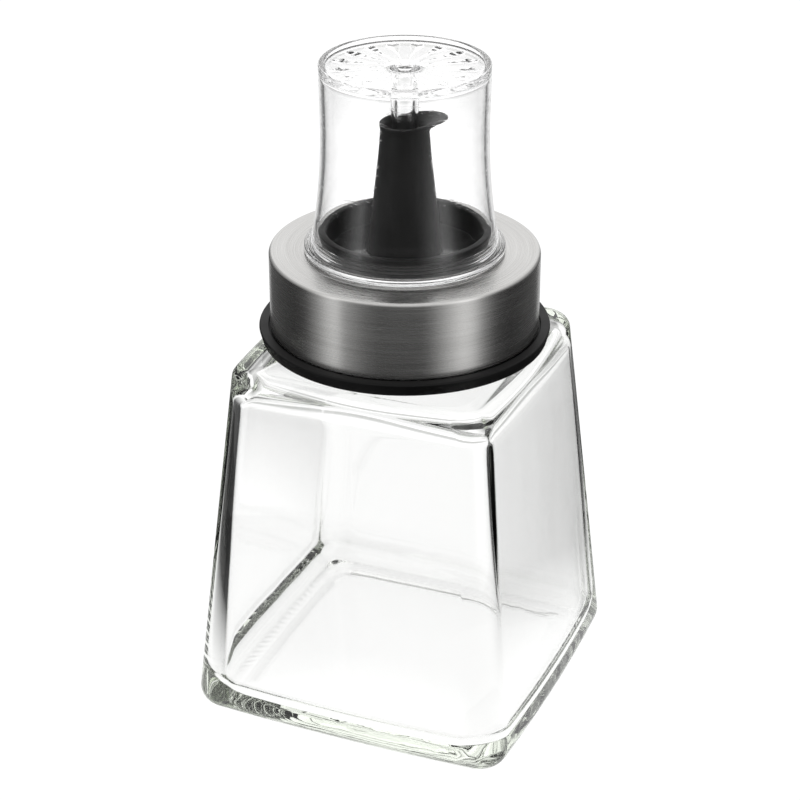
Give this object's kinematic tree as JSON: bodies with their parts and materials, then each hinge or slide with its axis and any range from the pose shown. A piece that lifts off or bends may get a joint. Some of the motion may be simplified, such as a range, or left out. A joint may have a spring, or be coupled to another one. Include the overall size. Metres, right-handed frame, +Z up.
{
  "type": "glass oil bottle",
  "caption": "Table cruet for oil or vinegar: tapered square glass bottle, steel and black screw closure with pouring spout and drip tray, clear lift-off cover with stopper pin.",
  "frame": {"origin": "centre of the base, on the surface the bottle stands on", "axes": "+Z up along the closure's axis; +X and +Y are normal to two sides of the square body; the pouring lip points between +X and +Y"},
  "size_m": [0.0716, 0.0716, 0.1381],
  "materials": {
    "clear_glass": "clear pressed soda-lime glass with a faint green tint",
    "clear_plastic": "clear moulded acrylic-like plastic, polished",
    "brushed_steel": "stainless steel, brushed round the cap",
    "black_plastic": "black moulded plastic, satin",
    "seal_white": "soft natural white sealing washer"
  },
  "bodies": {
    "bottle": {"glass_bottle": "clear_glass"},
    "seal": {"sealing_liner": "seal_white"},
    "closure": {"inner_cap": "black_plastic", "steel_shell": "brushed_steel", "pour_spout": "black_plastic"},
    "cover": {"dust_cover": "clear_plastic"}
  },
  "joints": [
    {"name": "cap_rise", "type": "slide", "parent": "bottle", "child": "seal", "axis": [0, 0, 1], "range_m": [0, 0.005]},
    {"name": "cap_turn", "type": "hinge", "parent": "seal", "child": "closure", "pos_m": [0, 0, 0.0801], "axis": [0, 0, 1], "range_deg": [0, 450]},
    {"name": "cover_lift", "type": "slide", "parent": "closure", "child": "cover", "axis": [0, 0, 1], "range_m": [0, 0.055]}
  ],
  "couplings": [
    {"joint": "cap_rise", "follows": "cap_turn", "m_per_rad": 0.0006366}
  ]
}
